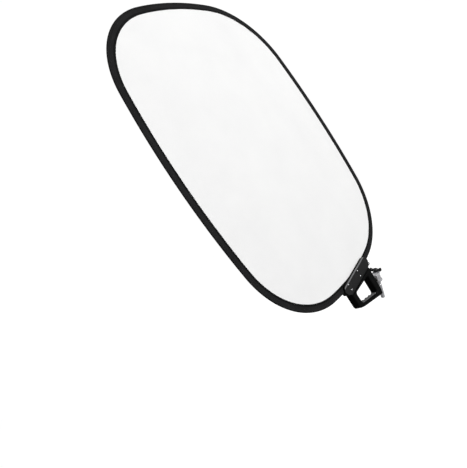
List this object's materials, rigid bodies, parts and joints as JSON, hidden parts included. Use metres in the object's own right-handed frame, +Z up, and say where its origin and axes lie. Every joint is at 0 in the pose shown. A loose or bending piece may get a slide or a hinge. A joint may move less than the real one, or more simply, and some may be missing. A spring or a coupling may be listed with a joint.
{
  "type": "collapsible reflector",
  "caption": "Oval cloth light reflector on a folding spring hoop, with a D-shaped hand grip and a tilting spigot.",
  "frame": {"origin": "on the spigot pin's axis, in the middle of the plain length that a grip head holds", "axes": "+Z up along the panel's long axis, away from the handle; -Y out of the white face; +X across the panel, towards the side of the handle that carries the spigot"},
  "size_m": [0.9, 0.0703, 1.3664],
  "materials": {
    "white_cloth": "matt white woven cloth",
    "silver_cloth": "silver coated woven cloth",
    "binding_tape": "black ribbed polyester tape",
    "spring_steel": "blued",
    "plated_steel": "zinc plated",
    "bright_steel": "turned and bright plated",
    "black_steel": "black oxide",
    "rivet_alloy": "satin",
    "plate_grey": "moulded, fine texture",
    "black_nylon": "moulded, fine texture",
    "knob_plastic": "moulded, fine texture",
    "grip_rubber": "matt",
    "friction_fibre": "pressed fibre",
    "cast_alloy": "cast and tumbled",
    "brass": "turned"
  },
  "bodies": {
    "spigot": {"spigot": "bright_steel"},
    "bracket": {"tilt_bracket": "cast_alloy", "spigot_liner": "friction_fibre"},
    "panel": {"front_cloth": "white_cloth", "back_cloth": "silver_cloth", "rim_binding": "binding_tape", "spring_hoop": "spring_steel", "hoop_ferrule": "plated_steel", "handle_front_shell": "black_nylon", "handle_back_shell": "black_nylon", "grip_pad": "grip_rubber", "front_clamp_plate": "plate_grey", "back_clamp_plate": "plate_grey", "plate_rivets": "rivet_alloy", "rivet_washers": "rivet_alloy", "handle_screws": "black_steel", "pivot_bolt": "black_steel", "pivot_nut": "plated_steel", "friction_disc": "friction_fibre", "bolt_washer": "plated_steel"},
    "clamp_washers": {"thrust_washer": "plated_steel", "spring_washer": "spring_steel"},
    "knob": {"wing_knob": "knob_plastic", "knob_insert": "brass"},
    "ring": {"lanyard_ring": "plated_steel"}
  },
  "joints": [
    {"name": "panel_swivel", "type": "hinge", "parent": "spigot", "child": "bracket", "pos_m": [0, 0, 0], "axis": [0, 0.309, -0.9511], "range_deg": [-180, 180]},
    {"name": "panel_tilt", "type": "hinge", "parent": "bracket", "child": "panel", "pos_m": [0, -0.02132, 0.06562], "axis": [1, 0, 0], "range_deg": [-72, 108]},
    {"name": "knob_rise", "type": "slide", "parent": "spigot", "child": "clamp_washers", "axis": [0, -0.309, 0.9511], "range_m": [0, 0.00125]},
    {"name": "knob_turn", "type": "hinge", "parent": "clamp_washers", "child": "knob", "pos_m": [0, 0, 0], "axis": [0, -0.309, 0.9511], "range_deg": [0, 360.5]},
    {"name": "ring_swing", "type": "hinge", "parent": "panel", "child": "ring", "pos_m": [0.0065, -0.01232, 0.13262], "axis": [0, 1, 0], "range_deg": [-50, 50]}
  ],
  "couplings": [
    {"joint": "knob_turn", "follows": "knob_rise", "rad_per_m": 5026.5}
  ]
}
